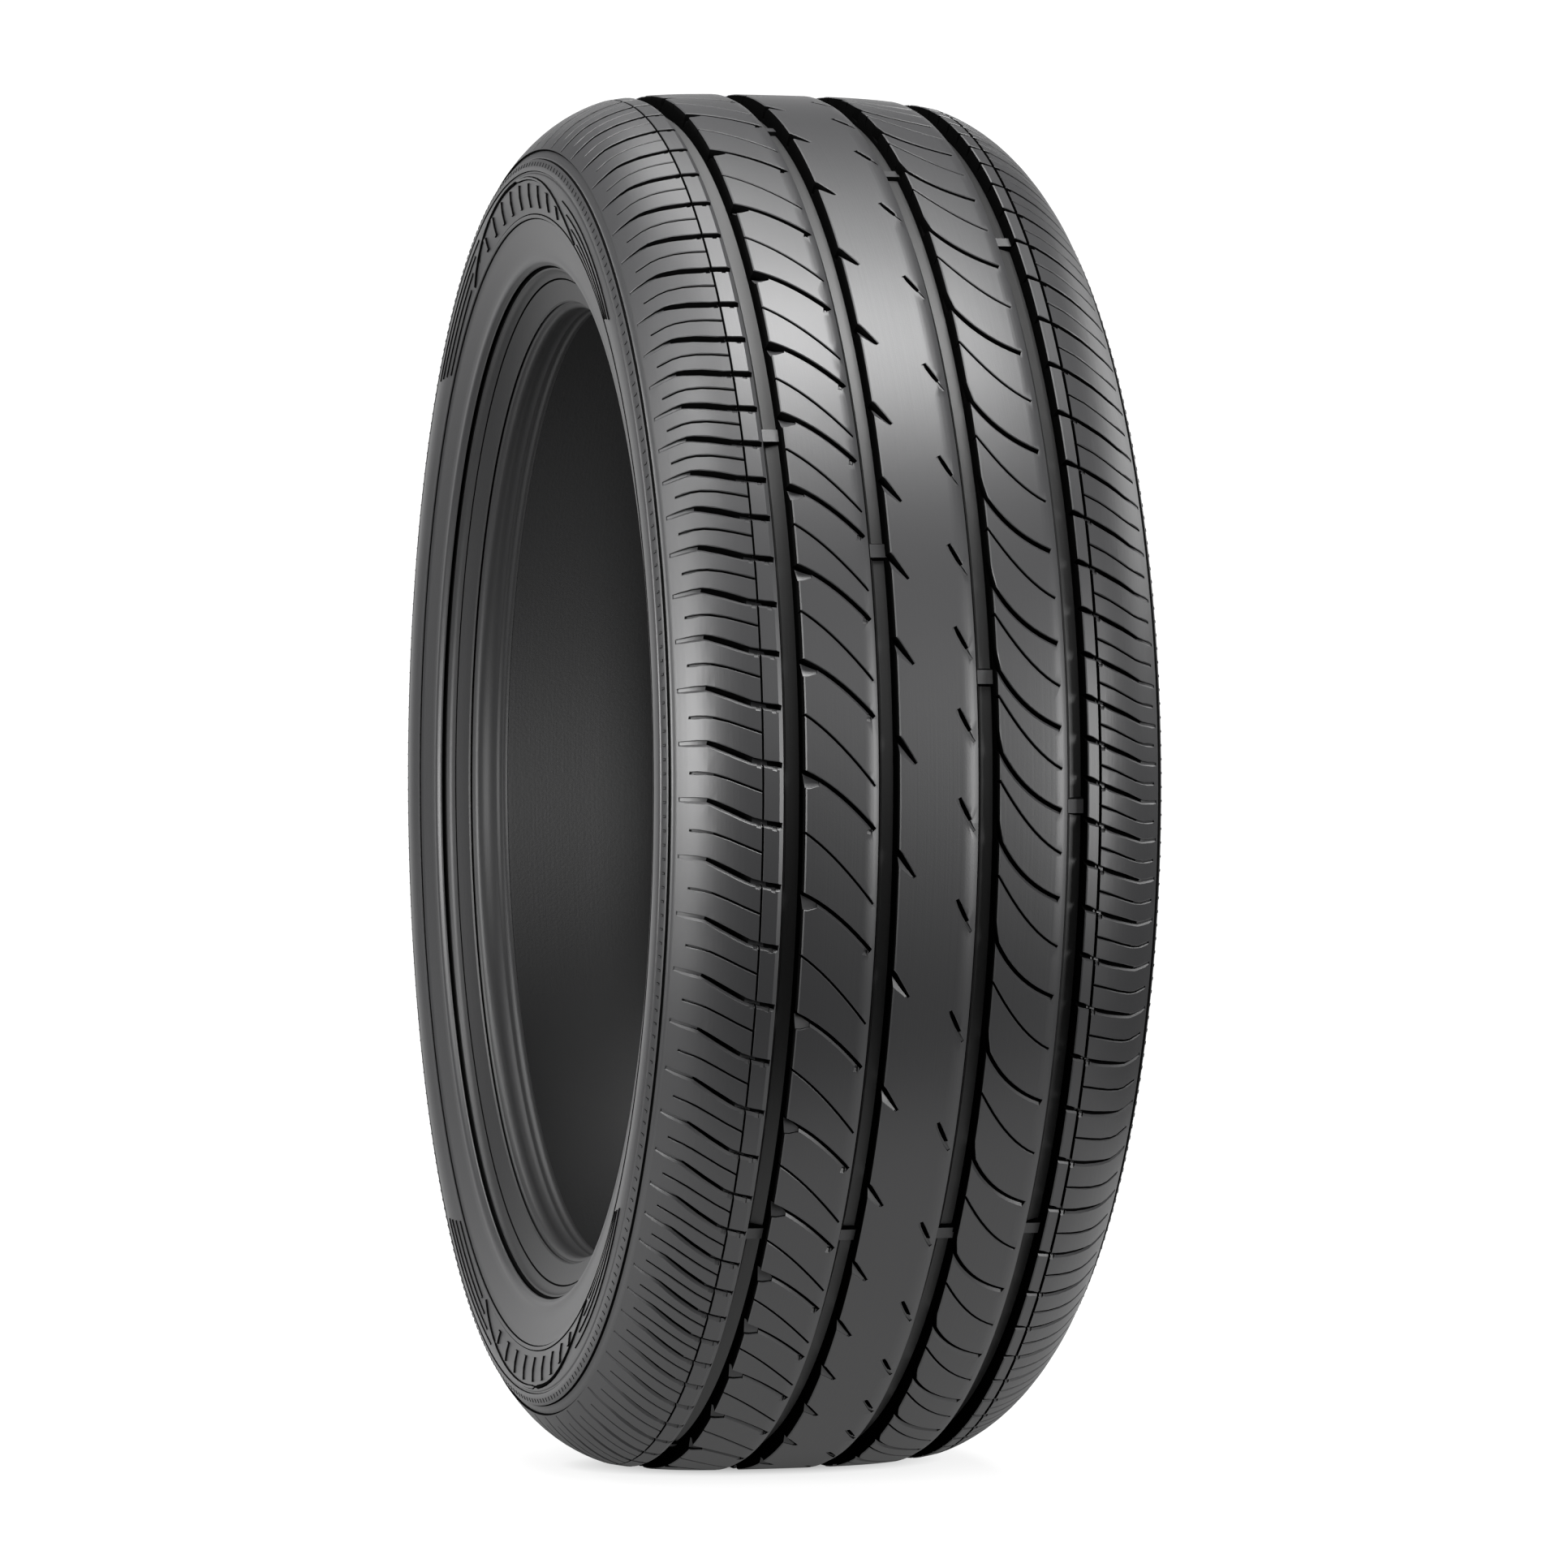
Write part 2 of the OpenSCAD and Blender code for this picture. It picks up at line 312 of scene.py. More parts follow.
# The cuts of the ribs, as points for lineOf. A curve goes on from the points with one size of width and depth.
# A step of 0.5 sets two in a pitch, shift moves a cut along the pattern, and bevels are of the upper and lower edge
cuts = {
    "rib2Wide": {
        "family": "rib2", "step": 1, "shift": 0, "bevels": (0.35, 1.0),
        "points": [(-0.6, -57.0, 1.6, 6.4)],
        "curve": ((0, -56), (6.5, -42), (24, -26.4)), "size": (1.6, 6.4)},
    "rib2Entry": {
        "family": "rib2", "step": 1, "shift": 0, "bevels": (0.35, 0.35),
        "points": [(3.4, -57.2, 6.6, 4.6, 1.4), (4.2, -53.5, 5.0, 4.0, 1.2), (4.6, -50.2, 2.0, 2.2, 1.0)]},
    "rib2Thin": {
        "family": "rib2", "step": 1, "shift": 0.5, "bevels": (0.3, 0.3),
        "curve": ((0, -56), (9, -43), (30, -26.4)), "size": (0.95, 4.8)},
    "notch": {
        "family": "notch", "step": 1, "shift": 0, "bevels": (0.35, 0.6),
        "points": [(-12.6, -17.6, 2.2, 6.4, 6.4), (-10.2, -15.4, 2.2, 6.4, 6.4), (-4.6, -11.6, 1.7, 6.2, 5.6),
                   (-0.6, -8.8, 1.0, 5.2, 4.8)]},
    "notchRamp": {
        "family": "notch", "step": 1, "shift": 0, "bevels": (0.2, 0.2),
        "points": [(-9.0, -17.6, 4.6, 3.4, 0.5), (-7.4, -15.4, 4.2, 3.0, 0.4), (-3.4, -11.8, 2.6, 2.0, 0.4),
                   (-0.8, -9.6, 1.4, 1.2, 0.4)]},
    "slit": {
        "family": "slit", "step": 1, "shift": 0, "bevels": (0.3, 0.5),
        "points": [(-5.2, 9.8, 1.2, 5.4), (-2.6, 11.0, 1.8, 6.2), (1.4, 13.0, 1.8, 6.2), (4.2, 14.5, 1.4, 5.8)]},
    "slitRamp": {
        "family": "slit", "step": 1, "shift": 0, "bevels": (0.2, 0.2),
        "points": [(-4.6, 9.0, 0.8, 0.5), (0.4, 11.6, 1.2, 0.6), (5.4, 14.2, 1.4, 0.6), (8.8, 16.4, 1.4, 0.9)]},
    "rib4Wide": {
        "family": "rib4", "step": 1, "shift": 0, "bevels": (0.35, 1.0),
        "points": [(-36, 26.4, 1.3, 5.6), (-30, 27.0, 1.7, 6.2)],
        "curve": ((-24, 28.2), (-7, 37), (0, 54.3)), "size": (1.7, 6.4)},
    "rib4Thin": {
        "family": "rib4", "step": 1, "shift": 0.5, "bevels": (0.3, 0.3),
        "curve": ((-31, 27.2), (-7, 41), (0, 54.6)), "size": (0.95, 4.8)},
    "leftWide": {
        "family": "left", "step": 0.5, "shift": 0, "bevels": (0.3, 1.2),
        "points": [(0.4, -65.4, 2.2, 6.2, 1.6), (0.0, -68.0, 2.2, 5.8, 1.4), (-0.5, -71.0, 2.0, 4.8, 2.2),
                   (-1.1, -74.0, 2.0, 4.2, 2.6), (-1.8, -77.2, 2.2, 3.6, 1.4), (-2.9, -79.6, 2.3, 5.2, 5.2),
                   (-5.8, -85.5, 2.3, 5.2, 5.2), (-8.8, -91.6, 2.0, 4.4, 4.4), (-9.8, -94.0, 1.7, 2.2, 2.2),
                   (-10.0, -97.0, 1.7, 1.4, 1.4), (-10.0, -101.0, 1.6, 1.1, 1.1),
                   (-10.0, -104.0, 1.4, 0.6, 0.6)]},
    "leftThin": {
        "family": "left", "step": 0.5, "shift": 0.25, "bevels": (0.3, 0.3),
        "points": [(-1.0, -73.6, 0.9, 4.0), (-3.6, -80, 0.9, 4.0), (-6.2, -86, 0.9, 3.8),
                   (-8.2, -91.5, 0.9, 3.0), (-8.9, -95, 0.9, 2.0), (-9.1, -100.5, 0.9, 1.2)]},
    "rightWide": {
        "family": "right", "step": 0.5, "shift": 0, "bevels": (0.3, 0.8),
        "points": [(-0.4, 65.0, 2.4, 6.2, 2.0), (0.8, 68.6, 2.2, 6.0, 3.0), (1.8, 71.0, 1.4, 2.6, 2.2),
                   (3.0, 74.6, 1.3, 2.4, 2.2), (3.8, 76.2, 1.8, 5.4, 5.0), (5.2, 80.0, 1.9, 5.4, 5.2),
                   (7.2, 86.0, 1.8, 5.0, 5.0), (8.9, 90.6, 1.5, 4.2, 4.2), (10.2, 94.4, 1.2, 2.4, 2.4),
                   (10.5, 98, 1.0, 1.0, 1.0), (10.7, 103.5, 1.0, 0.6, 0.6)]},
    "rightThin": {
        "family": "right", "step": 0.5, "shift": 0.25, "bevels": (0.3, 0.3),
        "points": [(3.0, 72.4, 0.9, 4.0), (5.6, 80, 0.9, 4.0), (8.0, 86, 0.9, 3.8), (10.2, 92, 0.9, 3.0),
                   (10.9, 95.4, 0.9, 1.8), (11.0, 102, 0.9, 1.0)]},
}
curveSteps = 9


def facet(family, step, s, y):
    # A small pocket in the lower edge of a cut, its slope turned up
    points = [(s + end * 0.2, y + end * 0.9, 1.4, 1.7) for end in (-1, 1)]
    return {"family": family, "step": step, "shift": 0, "bevels": (0.15, 1.8), "points": points}


cuts["leftFacet"] = facet("left", 0.5, -0.6, -74.6)
cuts["leftEdgeFacet"] = facet("left", 0.5, 0.6, -68.2)
cuts["rib2Facet"] = facet("rib2", 1, 23.6, -28.6)
cuts["rightFacet"] = facet("right", 0.5, 3.4, 73.9)


def cutterFor(cut):
    # The void of one cut, set at every pitch of its family
    points = list(cut.get("points", []))
    if "curve" in cut:
        points += [(s, y) + cut["size"] for s, y in bend(*cut["curve"], curveSteps)]
    proto = bmesh.new()
    sweep(proto, lineOf(points), *(mouth(bevel) for bevel in cut["bevels"]))
    mesh = meshFrom(proto, "proto")
    bm = bmesh.new()
    for n in range(round(pattern["pitches"] / cut["step"])):
        angle = pitchAngle(pattern["families"][cut["family"]], cut["shift"] + n * cut["step"])
        start = len(bm.verts)
        bm.from_mesh(mesh)
        bm.verts.ensure_lookup_table()
        for v in bm.verts[start:]:
            s, y, depth = v.co
            v.co = onRing(angle, s, y, surfaceR(y) - depth)
    bpy.data.meshes.remove(mesh)
    return newPiece("cutter", bm)


bars = {"sets": 7, "first": -14.3, "spread": 10.0, "height": 1.7, "length": 8.0, "edge": 1.0, "overlap": 0.5}


def wearBars():
    # Bars across the floors of the four wide grooves. Every second set is spread along the pattern
    bm = bmesh.new()
    for k in range(bars["sets"]):
        for i, g in enumerate(ringGrooves):
            spread = bars["spread"] * (i - 1.5) if k % 2 == 0 else 0
            angle = math.radians(bars["first"] + 360 / bars["sets"] * k + spread)
            floor = surfaceR((g["a"] + g["b"]) / 2) - g["depth"]
            near = g["a"] + g["lean"][0] + g["left"][0] - bars["overlap"]
            far = g["b"] - g["lean"][1] + bars["overlap"]
            line = lineOf([(bars["length"] / 2, y, bars["length"], -bars["height"])
                           for y in (near, (near + far) / 2, far)])
            start = len(bm.verts)
            sweep(bm, line, [(-bars["edge"], lambda top: top), (0, lambda top: 0.2), (0, lambda top: 1.0)])
            bm.verts.ensure_lookup_table()
            for v in bm.verts[start:]:
                v.co = onRing(angle, v.co.x, v.co.y, floor - v.co.z)
    return newPiece("wearBars", bm)


def buildTread():
    tread = revolve("treadBand", treadProfile(), tyre["steps"])
    print("tread ring", len(tread.data.polygons))
    for name, cut in cuts.items():
        combine(tread, cutterFor(cut), "DIFFERENCE")
        print("cut", name, len(tread.data.polygons))
    combine(tread, wearBars(), "UNION")
    return tread


# Outlines of the casing, all as (r, y): the plain sidewall, widest at 273, the bead down to its toe, the curves of
# the inner liner with their steps, and the belt hidden under the tread band
bulge = [
    (290.5, 103.6), (287, 106.0), (284.5, 107.3), (280, 108.8), (273, 109.6), (266, 108.8), (259, 106.9),
    (250, 104.7), (242, 102.6), (238, 101.5),
]
bead = [
    (237.4, 100.8), (237.2, 100.2), (238.4, 99.9), (238.5, 98.8), (236.2, 98.3), (235.4, 98.0), (235.0, 97.2),
    (234.6, 96.4), (233.6, 95.6), (231.6, 94.6), (231.5, 93.8), (230.9, 93.5), (230.8, 94.2), (228.0, 92.8),
    (225.0, 91.3), (222.6, 90.4), (221.4, 89.9), (220.9, 89.1), (221.7, 88.9), (221.6, 88.2), (220.6, 88.0),
    (220.2, 87.2), (219.4, 86.7), (218.7, 86.0), (218.3, 85.0), (218.3, 82.4), (218.6, 81.6), (218.9, 80.4),
    (218.9, 77.6), (218.6, 76.8), (218.6, 76.0), (218.9, 75.2), (218.9, 74.0), (218.5, 73.2), (218.3, 72.6),
    (218.3, 71.6), (218.6, 70.9), (219.4, 70.4), (221.0, 70.2), (223.6, 70.6),
]
linerCurves = [
    ((226.3, 72), (235, 76), (248, 91), 6),
    ((258.9, 98.5), (273, 102.5), (282.9, 98), 6),
    ((286.8, 95), (tyre["cavityR"], 86), (tyre["cavityR"], 50.5), 8),
]
belt = [(289.5, 101), (294.5, 90), (300, 80), (303.0, 70), (305.2, 62)]

# Rings and steps of the sidewall, as (r, height over the plain bulge)
relief = [
    (290.0, -0.8), (288.6, -0.6), (287.4, -0.7), (286.5, -0.9), (285.8, -0.6), (285.4, 0.3), (284.8, 0.5),
    (282.4, 0.5), (280.8, 0.45), (280.2, 0.2), (279.8, -0.3), (279.2, -0.3), (278.7, 0.05), (277.6, 0.1),
    (275.5, 0.0), (273.0, 0.0), (270.5, 0.0), (268.0, 0.0), (265.0, 0.0), (262.0, 0.0), (260.8, 0.1),
    (260.2, 0.55), (259.4, 0.65), (258.7, 0.5), (258.2, 0.0), (257.2, -0.15), (255.0, 0.0), (252.0, 0.0),
    (249.0, 0.0), (246.0, 0.0), (243.4, 0.0), (241.6, 0.35), (240.6, 0.7), (239.4, 0.75), (238.5, 0.4),
    (238.0, -0.2),
]


def bulgeAt(r):
    # A smooth curve through the bulge's points
    for i in range(len(bulge) - 1):
        (r1, y1), (r2, y2) = bulge[i], bulge[i + 1]
        if r1 >= r >= r2:
            r0, y0 = bulge[max(i - 1, 0)]
            r3, y3 = bulge[min(i + 2, len(bulge) - 1)]
            t = (r1 - r) / (r1 - r2)
            m1 = (y2 - y0) / (r2 - r0) * (r2 - r1)
            m2 = (y3 - y1) / (r3 - r1) * (r2 - r1)
            return ((2 * t**3 - 3 * t**2 + 1) * y1 + (t**3 - 2 * t**2 + t) * m1
                    + (3 * t**2 - 2 * t**3) * y2 + (t**3 - t**2) * m2)
    return bulge[-1][1]


def casingProfile():
    half = [(r, bulgeAt(r) + lift) for r, lift in relief] + bead
    for curve in linerCurves:
        half += bend(*curve)
    return [(r, -y) for r, y in half] + half[::-1] + belt + [(r, -y) for r, y in reversed(belt)]


# Raised marks of the sidewall, in degrees round it and in r. A panel is a crescent outline with plain bars inside,
# wedges trail away from both its ends, and the serrations go all round
wall = {
    "wideR": 273,
    "panels": {"centres": (91, -85), "half": 25, "r": 262.0, "rise": 15.0, "bluntness": 2.6},
    "outline": {"steps": 24, "width": 1.8, "taper": 0.8, "height": 0.75, "slope": 0.35},
    "bars": {"count": 9, "spread": 34, "foot": 1.4, "gap": 2.4, "width": 4.2, "height": 0.85, "slope": 0.5},
    "wedges": {"rows": 4, "steps": 10, "gap": 1.5, "stagger": 2.2, "length": 14, "longer": 3.2, "r": 264.0,
               "spacing": 3.5, "fall": 1.6, "tip": 0.5, "width": 1.5, "height": 0.5, "slope": 0.3},
    "serrations": {"count": 300, "r": (282.4, 284.2), "width": 1.5, "height": 0.75, "slope": 0.45},
}


def onWall(s, r, depth):
    # World place on the left sidewall, s round it from the +X side
    angle = s / wall["wideR"]
    return Vector((r * math.cos(angle), depth - bulgeAt(r), r * math.sin(angle))) * mm


def wallRidge(bm, points, height, slope):
    # A raised bar through points of (degrees, r, width)
    ridgeBody(bm, lineOf([(math.radians(a) * wall["wideR"], r, w, height) for a, r, w in points]), slope)


def crescentR(u):
    # Outer radius of a panel, from its middle at 0 to its ends at -1 and 1
    panels = wall["panels"]
    return panels["r"] + panels["rise"] * (1 - abs(u) ** panels["bluntness"])


def addPanel(bm, centre):
    half = wall["panels"]["half"]
    outline = wall["outline"]
    points = []
    for i in range(outline["steps"] + 1):
        u = 2 * i / outline["steps"] - 1
        points.append((centre + half * u, crescentR(u), outline["width"] - outline["taper"] * abs(u)))
    wallRidge(bm, points, outline["height"], outline["slope"])
    plain = wall["bars"]
    for i in range(plain["count"]):
        angle = centre + plain["spread"] * (i / (plain["count"] - 1) - 0.5)
        foot = wall["panels"]["r"] + plain["foot"]
        top = crescentR((angle - centre) / half) - plain["gap"]
        points = [(angle, r, plain["width"]) for r in (foot, (foot + top) / 2, top)]
        wallRidge(bm, points, plain["height"], plain["slope"])


def addWedges(bm, centre):
    wedge = wall["wedges"]
    for way in (-1, 1):
        for row in range(wedge["rows"]):
            start = wall["panels"]["half"] + wedge["gap"] - row * wedge["stagger"]
            length = wedge["length"] + wedge["longer"] * row
            points = []
            for i in range(wedge["steps"] + 1):
                t = i / wedge["steps"]
                r = wedge["r"] + row * wedge["spacing"] - t * t * wedge["fall"]
                swell = math.sin(math.pi * (0.08 + 0.92 * t)) ** 0.8
                points.append((centre + way * (start + t * length), r, wedge["tip"] + wedge["width"] * swell))
            wallRidge(bm, points, wedge["height"], wedge["slope"])


def wallMarks():
    # The left sidewall's, and the same turned over to the right one
    bm = bmesh.new()
    for centre in wall["panels"]["centres"]:
        addPanel(bm, centre)
        addWedges(bm, centre)
    tooth = wall["serrations"]
    for i in range(tooth["count"]):
        angle = 360 * i / tooth["count"]
        wallRidge(bm, [(angle, r, tooth["width"]) for r in tooth["r"]], tooth["height"], tooth["slope"])
    for v in bm.verts:
        v.co = onWall(*v.co)
    left = list(bm.verts) + list(bm.edges) + list(bm.faces)
    right = [g for g in bmesh.ops.duplicate(bm, geom=left)["geom"] if isinstance(g, bmesh.types.BMVert)]
    bmesh.ops.rotate(bm, verts=right, cent=(0, 0, 0), matrix=Matrix.Rotation(math.pi, 3, "Z"))
    return newPiece("wallMarks", bm)


def buildCasing():
    casing = revolve("casing", casingProfile(), tyre["steps"])
    print("casing ring", len(casing.data.polygons))
    combine(casing, wallMarks(), "UNION")
    return casing


def restOnGround(obj):
    # The flat that the tyre stands on
    flatZ = -math.sqrt(tyre["outerR"] ** 2 - (tyre["flatLength"] / 2) ** 2) * mm
    for v in obj.data.vertices:
        if v.co.z < flatZ:
            v.co.z = flatZ


def addNode(tree, kind, sockets=None, **settings):
    # Each socket gets a value, or a link from another node's output
    node = tree.nodes.new(kind)
    for name, value in settings.items():
        setattr(node, name, value)
    for name, value in (sockets or {}).items():
        if isinstance(value, bpy.types.NodeSocket):
            tree.links.new(value, node.inputs[name])
        else:
            node.inputs[name].default_value = value
    return node


def grainGroup():
    # Height of fine moulding grain, mixed with faint lines that run round the tyre
    group = bpy.data.node_groups.new("rubberGrain", "ShaderNodeTree")
    for name in ("Grain Scale", "Lines"):
        group.interface.new_socket(name, in_out="INPUT", socket_type="NodeSocketFloat")
    group.interface.new_socket("Height", in_out="OUTPUT", socket_type="NodeSocketFloat")
    given = addNode(group, "NodeGroupInput").outputs
    place = addNode(group, "ShaderNodeTexCoord").outputs["Object"]
    fine = addNode(group, "ShaderNodeTexNoise", {"Vector": place, "Scale": given["Grain Scale"], "Detail": 3})
    parts = addNode(group, "ShaderNodeSeparateXYZ", {0: place}).outputs
    angle = addNode(group, "ShaderNodeMath", {0: parts["Z"], 1: parts["X"]}, operation="ARCTAN2")
    across = addNode(group, "ShaderNodeMath", {0: parts["Y"], 1: 420.0}, operation="MULTIPLY")
    flat = addNode(group, "ShaderNodeCombineXYZ", {"X": angle.outputs[0], "Y": across.outputs[0]})
    lines = addNode(group, "ShaderNodeTexNoise", {"Vector": flat.outputs[0], "Scale": 2.0, "Detail": 2})
    both = addNode(group, "ShaderNodeMix", data_type="FLOAT")
    group.links.new(given["Lines"], both.inputs["Factor"])
    group.links.new(fine.outputs["Fac"], both.inputs["A"])
    group.links.new(lines.outputs["Fac"], both.inputs["B"])
    addNode(group, "NodeGroupOutput", {"Height": both.outputs["Result"]})
    return group


looks = {
    "tread": {"colour": (0.021, 0.021, 0.022), "roughness": 0.42, "gloss": 0.5,
              "grain": 1500.0, "lines": 0.6, "bump": 0.25},
    # cut: near-black rubber with no gloss in the cuts, the bead rings and on the steep sides of the wall marks,
    # painted shade of these recesses and edges
    "cut": {"colour": (0.003, 0.003, 0.003), "roughness": 0.9, "gloss": 0.0,
            "grain": 1500.0, "lines": 0.0, "bump": 0.1},
    # floor: darker, less glossy rubber on the open floors of the wide grooves, painted shade in the grooves
    "floor": {"colour": (0.012, 0.012, 0.012), "roughness": 0.48, "gloss": 0.42,
              "grain": 1500.0, "lines": 0.6, "bump": 0.25},
    "casing": {"colour": (0.026, 0.026, 0.027), "roughness": 0.42, "gloss": 0.5,
               "grain": 1100.0, "lines": 0.1, "bump": 0.25},
    # liner: darker rubber on the beads and the inner liner, painted shade of the bead and the dim cavity
    "liner": {"colour": (0.013, 0.013, 0.0135), "roughness": 0.5, "gloss": 0.5,
              "grain": 700.0, "lines": 0.3, "bump": 0.4},
}


def rubber(name, look, grain):
    material = bpy.data.materials.new(name)
    material.use_nodes = True
    tree = material.node_tree
    surface = addNode(tree, "ShaderNodeGroup", node_tree=grain)
    surface.inputs["Grain Scale"].default_value = look["grain"]
    surface.inputs["Lines"].default_value = look["lines"]
    bump = addNode(tree, "ShaderNodeBump", {
        "Strength": look["bump"], "Distance": 0.0002, "Height": surface.outputs["Height"]})
    shader = tree.nodes["Principled BSDF"]
    shader.inputs["Base Color"].default_value = (*look["colour"], 1)
    shader.inputs["Roughness"].default_value = look["roughness"]
    shader.inputs["Specular IOR Level"].default_value = look["gloss"]
    tree.links.new(bump.outputs["Normal"], shader.inputs["Normal"])
    return material


# Where a piece changes its look: how squarely a face stands to the smooth surface, how deep it lies under it,
# and, on the casing, the range of r with marks and the cut rings as ranges of r and of y
# The darker looks that these thresholds pick are painted shade
split = {
    "steepCut": 0.5,
    "narrowDepth": 3.2,
    "floorDepth": 6.5,
    "steepMark": 0.8,
    "marksR": (258, 287),
    "linerDepth": 2.5,
    "beadInset": 1,
    "beadRings": [(236.9, 239.0, 98.4, 100.15), (230.9, 231.6, 93.4, 94.5), (220.9, 221.8, 88.1, 89.0)],
}


def outward(y):
    # Direction that the smooth tread faces, as (radial, across)
    if abs(y) > tyre["treadHalf"]:
        side = math.copysign(abs(y) - shoulder.y, y)
        return Vector((surfaceR(min(abs(y), tyre["buttressHalf"])) - shoulder.x, side)).normalized()
    return Vector((1, (surfaceR(y - 0.5) - surfaceR(y + 0.5)))).normalized()


def treadPart(centre, normal):
    # 0 on the ribs, bevels and wear bars, 1 in all cuts and past the open part of each wide groove's floor, where
    # near-black rubber is painted shade, 2 on the open floors of the wide grooves, whose darker rubber is painted
    # shade
    x, y, z = centre / mm
    r = math.hypot(x, z)
    facing = outward(y).dot(Vector(((normal.x * x + normal.z * z) / r, normal.y)))
    below = surfaceR(min(abs(y), tyre["buttressHalf"])) - r
    onOpenFloor = any(g["a"] < y < splitAt(g) for g in ringGrooves)
    if facing < split["steepCut"] or below > split["narrowDepth"] and not onOpenFloor:
        return 1
    return 2 if below > split["floorDepth"] else 0


def casingPart(centre, normal):
    # 0 on the outside, 1 on the beads and the inner liner, in darker rubber that paints their shade, 2 in cut rings
    # and on the steep edges of marks, in near-black rubber that paints their shade as dark outlines
    x, y, z = centre / mm
    r = math.hypot(x, z)
    if any(r0 < r < r1 and y0 < abs(y) < y1 for r0, r1, y0, y1 in split["beadRings"]):
        return 2
    if r < tyre["lipR"] - split["beadInset"] or abs(y) < bulgeAt(r) - split["linerDepth"]:
        return 1
    slope = bulgeAt(r + 0.5) - bulgeAt(r - 0.5)
    radial = (normal.x * x + normal.z * z) / r
    facing = (math.copysign(normal.y, y * normal.y) - slope * radial) / math.hypot(1, slope)
    low, high = split["marksR"]
    return 2 if facing < split["steepMark"] and low < r < high else 0


sharpAngle = 28


def dress(obj, materials, partOf):
    obj.data.materials.clear()
    for material in materials:
        obj.data.materials.append(material)
    for face in obj.data.polygons:
        face.material_index = partOf(face.center, face.normal)
    obj.data.shade_smooth()
    obj.data.set_sharp_from_angle(angle=math.radians(sharpAngle))
    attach(obj, "root")
    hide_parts("tyre")


grain = grainGroup()
rubbers = {name: rubber(name + "Rubber", look, grain) for name, look in looks.items()}
tread = buildTread()
restOnGround(tread)
dress(tread, (rubbers["tread"], rubbers["cut"], rubbers["floor"]), treadPart)
casing = buildCasing()
dress(casing, (rubbers["casing"], rubbers["liner"], rubbers["cut"]), casingPart)
print("pieces built", sum(len(piece.data.polygons) for piece in (tread, casing)))

camera = {
    "focalPixels": 7716.2,
    "imagePixels": 1932,
    "sensor": 36,
    "place": (2.8216, -0.70182, 0.02506),
    "azimuth": 75.7465,
    "elevation": 0.5126,
}


def addCamera():
    data = bpy.data.cameras.new("camera")
    data.sensor_width = camera["sensor"]
    data.lens = camera["focalPixels"] / camera["imagePixels"] * data.sensor_width
    obj = addObject("camera", data)
    azimuth = math.radians(camera["azimuth"])
    elevation = math.radians(camera["elevation"])
    level = math.cos(elevation)
    back = Vector((math.sin(azimuth) * level, -math.cos(azimuth) * level, math.sin(elevation)))
    right = (-back).cross(Vector((0, 0, 1))).normalized()
    up = right.cross(-back)
    obj.matrix_world = Matrix.Translation(camera["place"]) @ Matrix((right, up, back)).transposed().to_4x4()
    bpy.context.scene.camera = obj


# A roll of white paper under and behind the tyre, as wide as the picture and measured in metres towards the camera.
# The painted shadow is a ramp of (distance, brightness) in the paper's glow round the spot where the tyre stands
paper = {
    "front": 0.42,
    "back": -2.6,
    "bend": 0.8,
    "bendSteps": 12,
    "top": 2.2,
    "apex": 2.92,
    "spread": 0.16,
    "paintedShadowCore": 0.02,
    "paintedShadow": ((0.03, 0.45), (0.055, 0.86), (0.1, 0.96), (0.3, 0.99)),
    "paintedShadowShape": (1, 0.6, 0),
    # In reflections the painted shadow reaches further
    "reflectedReach": 0.28,  # in reflections the shadow reaches further
    "lit": 0.1,
    "dark": 0.12,
}


def grey(level):
    return (level, level, level, 1)


def whitePaper():
    # White to the camera and in reflections, dark to bounced light, with a painted shadow of the tyre in its glow,
    # and the real shadow only on its faint lit part
    material = bpy.data.materials.new("whitePaper")
    material.use_nodes = True
    tree = material.node_tree
    tree.nodes.remove(tree.nodes["Principled BSDF"])
    rays = addNode(tree, "ShaderNodeLightPath").outputs
    seen = addNode(tree, "ShaderNodeMath", {0: rays["Is Camera Ray"], 1: rays["Is Glossy Ray"]}, operation="ADD")
    seenAll = addNode(tree, "ShaderNodeMath", {0: seen.outputs[0], 1: rays["Is Transmission Ray"]},
                      operation="ADD", use_clamp=True)
    place = addNode(tree, "ShaderNodeTexCoord").outputs["Object"]
    flat = addNode(tree, "ShaderNodeVectorMath", {0: place, 1: paper["paintedShadowShape"]}, operation="MULTIPLY")
    distance = addNode(tree, "ShaderNodeVectorMath", {0: flat.outputs[0]}, operation="LENGTH")
    far = paper["reflectedReach"]
    reach = addNode(tree, "ShaderNodeMath", {0: rays["Is Camera Ray"], 1: 1 - far, 2: far},
                    operation="MULTIPLY_ADD")
    scaled = addNode(tree, "ShaderNodeMath", {0: distance.outputs["Value"], 1: reach.outputs[0]},
                     operation="MULTIPLY")
    # Painted shadow: the glow dims towards the spot where the tyre stands
    paintedShadowRamp = addNode(tree, "ShaderNodeValToRGB", {"Fac": scaled.outputs[0]})
    stops = paintedShadowRamp.color_ramp.elements
    stops[0].color = grey(paper["paintedShadowCore"])
    for at, level in paper["paintedShadow"]:
        stops.new(at).color = grey(level)
    lit = addNode(tree, "ShaderNodeBsdfDiffuse", {"Color": grey(paper["lit"])})
    glow = addNode(tree, "ShaderNodeEmission", {"Color": paintedShadowRamp.outputs["Color"]})
    shown = addNode(tree, "ShaderNodeAddShader", {0: lit.outputs[0], 1: glow.outputs[0]})
    dark = addNode(tree, "ShaderNodeBsdfDiffuse", {"Color": grey(paper["dark"])})
    mixed = addNode(tree, "ShaderNodeMixShader", {0: seenAll.outputs[0], 1: dark.outputs[0], 2: shown.outputs[0]})
    tree.links.new(mixed.outputs[0], tree.nodes["Material Output"].inputs["Surface"])
    material.cycles.emission_sampling = "NONE"
    return material


